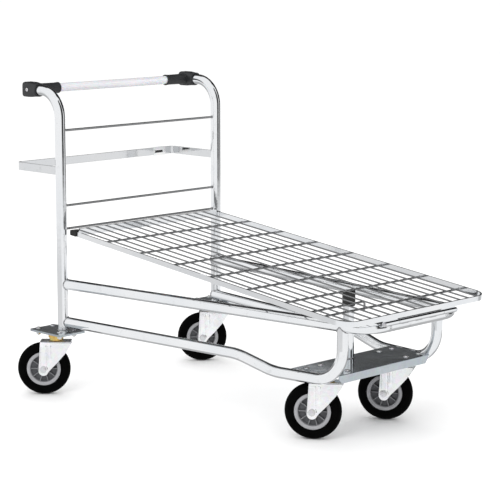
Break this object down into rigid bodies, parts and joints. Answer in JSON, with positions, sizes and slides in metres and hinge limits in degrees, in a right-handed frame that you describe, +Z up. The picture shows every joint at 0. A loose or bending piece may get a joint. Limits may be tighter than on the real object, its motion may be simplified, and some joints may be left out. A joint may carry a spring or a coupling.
{
  "type": "nestable platform luggage trolley",
  "caption": "Nestable luggage trolley with a sloping wire-mesh deck hinged at the front, a tapering tube chassis, a bent-tube back with a cross handle, and swivel casters.",
  "frame": {"origin": "on the floor under the middle of the bounding box", "axes": "+X towards the low front end of the deck, +Y to the trolley's left, +Z up"},
  "size_m": [1.341, 0.8107, 0.9405],
  "materials": {
    "tube": "bright zinc, lightly brushed along the tube",
    "plate": "bright zinc-plated sheet",
    "wire": "bright zinc wire",
    "fork": "zinc-plated pressed steel",
    "fastener": "zinc-plated",
    "race": "yellow passivated zinc",
    "moulding": "fine moulded grain",
    "grip": "clear tube over a white core",
    "rubber": "matt",
    "tyre": "matt, scuffed tread",
    "wheel": "moulded grey nylon",
    "label": "blank"
  },
  "bodies": {
    "chassis": {"left_upright": "tube", "right_upright": "tube", "upper_frame": "tube", "left_lower_rail": "tube", "right_lower_rail": "tube", "front_plate": "plate", "left_mount_plate": "plate", "right_mount_plate": "plate", "rest_post": "tube", "rest_cap": "rubber", "nesting_loop": "tube", "label_holder": "plate", "label_insert": "label", "upper_backrest_rod": "tube", "middle_backrest_rod": "tube", "lower_backrest_rod": "tube", "handle_tube": "grip", "left_handle_bracket": "moulding", "right_handle_bracket": "moulding", "handle_plugs": "moulding", "handle_screws": "fastener", "hinge_sleeve": "tube", "hinge_pin": "fastener", "front_caster_bolts": "fastener", "rear_caster_bolts": "fastener", "caster_nuts": "fastener", "caster_races": "race", "kingpins": "fastener", "rear_left_caster_plate": "plate", "rear_right_caster_plate": "plate", "front_left_caster_plate": "plate", "front_right_caster_plate": "plate"},
    "deck": {"deck_rim": "wire", "deck_long_wires": "wire", "deck_cross_wires": "wire", "deck_stop_rod": "wire", "deck_knuckles": "wire", "left_bumper": "rubber", "right_bumper": "rubber"},
    "rear_left_caster": {"rear_left_fork": "fork", "rear_left_axle_bolt": "fastener"},
    "rear_left_wheel": {"rear_left_tyre": "tyre", "rear_left_rim": "wheel", "rear_left_bearing": "fastener"},
    "rear_right_caster": {"rear_right_fork": "fork", "rear_right_axle_bolt": "fastener"},
    "rear_right_wheel": {"rear_right_tyre": "tyre", "rear_right_rim": "wheel", "rear_right_bearing": "fastener"},
    "front_left_caster": {"front_left_fork": "fork", "front_left_axle_bolt": "fastener"},
    "front_left_wheel": {"front_left_tyre": "tyre", "front_left_rim": "wheel", "front_left_bearing": "fastener"},
    "front_right_caster": {"front_right_fork": "fork", "front_right_axle_bolt": "fastener"},
    "front_right_wheel": {"front_right_tyre": "tyre", "front_right_rim": "wheel", "front_right_bearing": "fastener"}
  },
  "joints": [
    {"name": "deck_tilt", "type": "hinge", "parent": "chassis", "child": "deck", "pos_m": [0.664, 0.0175, 0.351], "axis": [0, 1, 0], "range_deg": [0, 60]},
    {"name": "rear_left_swivel", "type": "hinge", "parent": "chassis", "child": "rear_left_caster", "pos_m": [-0.484, 0.3495, 0.17], "axis": [0, 0, 1], "continuous": true},
    {"name": "rear_left_spin", "type": "hinge", "parent": "rear_left_caster", "child": "rear_left_wheel", "pos_m": [-0.50843, 0.32039, 0.08], "axis": [0.766, -0.6428, 0], "continuous": true},
    {"name": "rear_right_swivel", "type": "hinge", "parent": "chassis", "child": "rear_right_caster", "pos_m": [-0.484, -0.3145, 0.17], "axis": [0, 0, 1], "continuous": true},
    {"name": "rear_right_spin", "type": "hinge", "parent": "rear_right_caster", "child": "rear_right_wheel", "pos_m": [-0.51133, -0.3409, 0.08], "axis": [0.6947, -0.7193, 0], "continuous": true},
    {"name": "front_left_swivel", "type": "hinge", "parent": "chassis", "child": "front_left_caster", "pos_m": [0.461, 0.1695, 0.17], "axis": [0, 0, 1], "continuous": true},
    {"name": "front_left_spin", "type": "hinge", "parent": "front_left_caster", "child": "front_left_wheel", "pos_m": [0.42809, 0.1505, 0.08], "axis": [0.5, -0.866, 0], "continuous": true},
    {"name": "front_right_swivel", "type": "hinge", "parent": "chassis", "child": "front_right_caster", "pos_m": [0.461, -0.1345, 0.17], "axis": [0, 0, 1], "continuous": true},
    {"name": "front_right_spin", "type": "hinge", "parent": "front_right_caster", "child": "front_right_wheel", "pos_m": [0.42987, -0.1563, 0.08], "axis": [0.5736, -0.8192, 0], "continuous": true}
  ]
}
